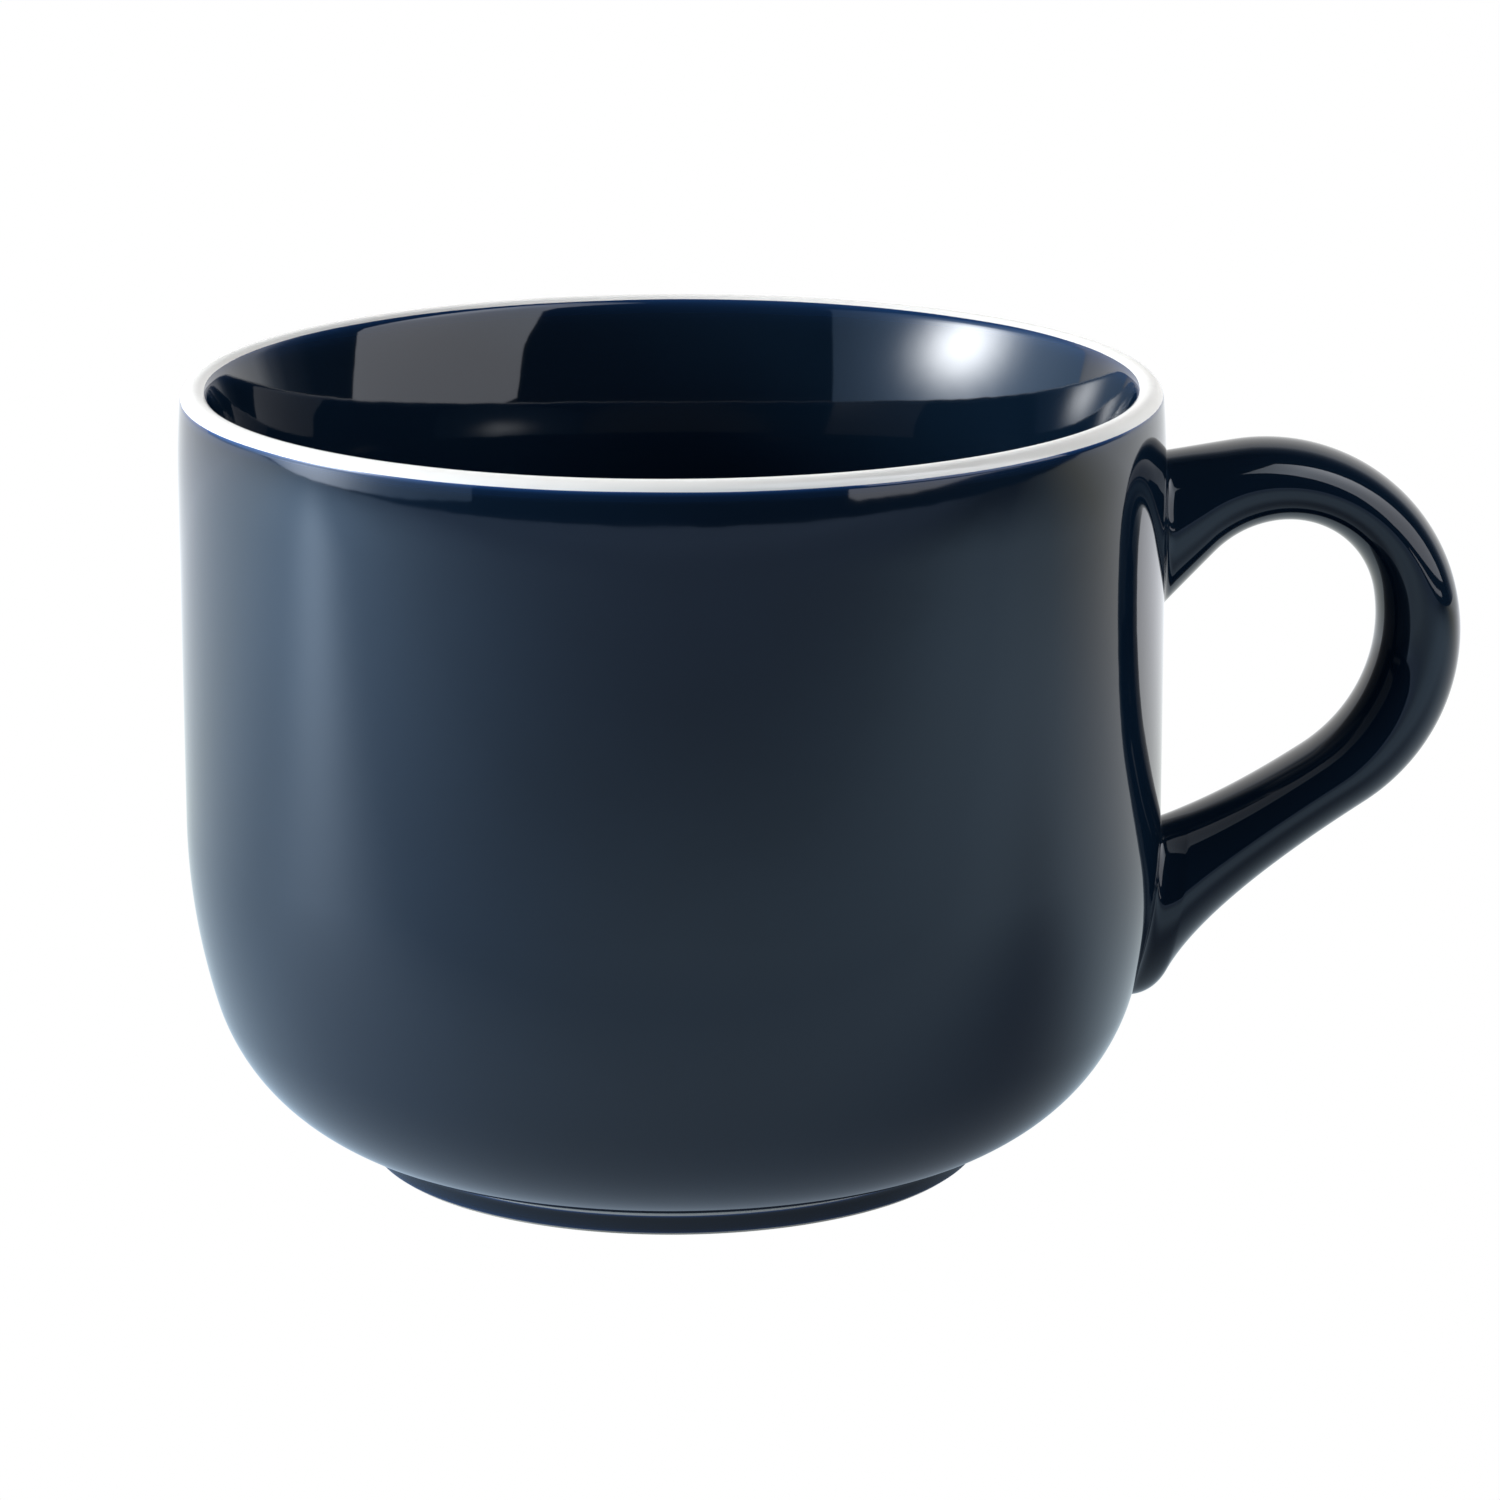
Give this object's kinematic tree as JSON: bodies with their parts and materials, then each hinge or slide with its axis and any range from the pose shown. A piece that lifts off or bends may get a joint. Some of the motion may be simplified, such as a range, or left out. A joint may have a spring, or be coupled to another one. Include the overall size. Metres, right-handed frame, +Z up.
{
  "type": "soup mug",
  "caption": "Wide soup mug with a straight upper wall that rounds into a bowl, a low foot ring, a white lip band and a loop handle, for holding and drinking hot soup.",
  "frame": {"origin": "on the cup axis, in the plane that the foot ring stands on", "axes": "+Z up along the cup axis, +X out through the middle of the handle, +Y across the handle"},
  "size_m": [0.1578, 0.12, 0.0965],
  "materials": {
    "stoneware": "fired, unglazed, fine-grained and matt",
    "slip": "fired slip, matt, hidden inside the joint",
    "navy_glaze": "high gloss navy glaze, slightly thinner and bluer at edges",
    "white_glaze": "high gloss warm white glaze"
  },
  "bodies": {
    "root": {"cup_body": "stoneware", "handle": "stoneware", "upper_slip_joint": "slip", "lower_slip_joint": "slip", "outer_glaze": "navy_glaze", "inner_glaze": "navy_glaze", "rim_glaze": "white_glaze", "base_glaze": "navy_glaze", "handle_glaze": "navy_glaze"}
  },
  "joints": []
}
